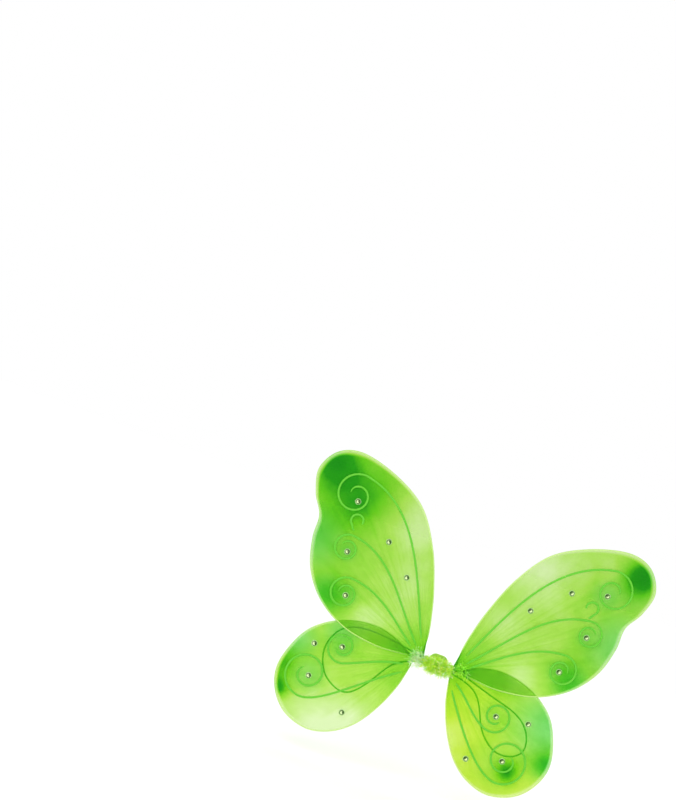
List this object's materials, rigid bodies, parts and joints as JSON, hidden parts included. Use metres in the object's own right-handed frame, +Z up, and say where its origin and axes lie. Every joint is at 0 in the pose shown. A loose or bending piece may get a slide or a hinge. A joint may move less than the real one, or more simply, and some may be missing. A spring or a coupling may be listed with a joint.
{
  "type": "fairy wings",
  "caption": "Costume fairy wings: dyed sheer nylon stretched over four bent-wire frames that fold at a bound centre, with glitter vines, glued gems, fluffy trim and elastic shoulder loops.",
  "frame": {"origin": "middle of the back pad's outer face, which lies against the wearer's back", "axes": "+X across the wings to the right as the decorated side is seen, +Y towards the wearer's back, out of the pad's face, and +Z up as worn"},
  "size_m": [0.4597, 0.0279, 0.358],
  "materials": {
    "wire": "satin, wrapped in pale green nylon",
    "dyed_nylon": "sheer knitted stocking nylon, dyed lime to leaf green",
    "thread_wrap": "wound thread",
    "glitter_glue": "raised glue line with green glitter",
    "rhinestone": "polished facets, foil backed",
    "marabou_trim": "fine fluffy fibres",
    "elastic_cord": "braided round elastic",
    "felt_pad": "matt felt",
    "binding_tape": "wound cloth tape"
  },
  "bodies": {
    "centre": {"back_pad": "felt_pad", "centre_binding": "binding_tape", "centre_fluff": "marabou_trim", "left_elastic_knot": "elastic_cord", "right_elastic_knot": "elastic_cord", "left_shoulder_elastic": "elastic_cord", "right_shoulder_elastic": "elastic_cord"},
    "left_wings": {"upper_left_gem_1": "rhinestone", "upper_left_gem_2": "rhinestone", "upper_left_gem_3": "rhinestone", "upper_left_gem_4": "rhinestone", "upper_left_gem_5": "rhinestone", "upper_left_nylon": "dyed_nylon", "upper_left_root_wrap": "thread_wrap", "upper_left_vine_hook": "glitter_glue", "upper_left_vine_long": "glitter_glue", "upper_left_vine_middle": "glitter_glue", "upper_left_vine_short": "glitter_glue", "upper_left_wire": "wire", "left_root_fluff": "marabou_trim"},
    "right_wings": {"upper_right_gem_1": "rhinestone", "upper_right_gem_2": "rhinestone", "upper_right_gem_3": "rhinestone", "upper_right_gem_4": "rhinestone", "upper_right_gem_5": "rhinestone", "upper_right_nylon": "dyed_nylon", "upper_right_root_wrap": "thread_wrap", "upper_right_vine_hook": "glitter_glue", "upper_right_vine_long": "glitter_glue", "upper_right_vine_middle": "glitter_glue", "upper_right_vine_short": "glitter_glue", "upper_right_wire": "wire", "right_root_fluff": "marabou_trim"},
    "left_lower_wing": {"lower_left_gem_1": "rhinestone", "lower_left_gem_2": "rhinestone", "lower_left_gem_3": "rhinestone", "lower_left_gem_4": "rhinestone", "lower_left_nylon": "dyed_nylon", "lower_left_root_wrap": "thread_wrap", "lower_left_vine_long": "glitter_glue", "lower_left_vine_short": "glitter_glue", "lower_left_wire": "wire"},
    "right_lower_wing": {"lower_right_gem_1": "rhinestone", "lower_right_gem_2": "rhinestone", "lower_right_gem_3": "rhinestone", "lower_right_gem_4": "rhinestone", "lower_right_nylon": "dyed_nylon", "lower_right_root_wrap": "thread_wrap", "lower_right_vine_long": "glitter_glue", "lower_right_vine_short": "glitter_glue", "lower_right_wire": "wire"}
  },
  "joints": [
    {"name": "left_fold", "type": "hinge", "parent": "centre", "child": "left_wings", "pos_m": [-0.013, -0.015, 0], "axis": [0, 0, 1], "range_deg": [0, 75]},
    {"name": "right_fold", "type": "hinge", "parent": "centre", "child": "right_wings", "pos_m": [0.013, -0.015, 0], "axis": [0, 0, -1], "range_deg": [0, 75]},
    {"name": "left_lower_spread", "type": "hinge", "parent": "left_wings", "child": "left_lower_wing", "pos_m": [-0.0145, -0.009, -0.0025], "axis": [0, 1, 0], "range_deg": [-8, 8]},
    {"name": "right_lower_spread", "type": "hinge", "parent": "right_wings", "child": "right_lower_wing", "pos_m": [0.0145, -0.009, -0.0025], "axis": [0, -1, 0], "range_deg": [-8, 8]}
  ]
}
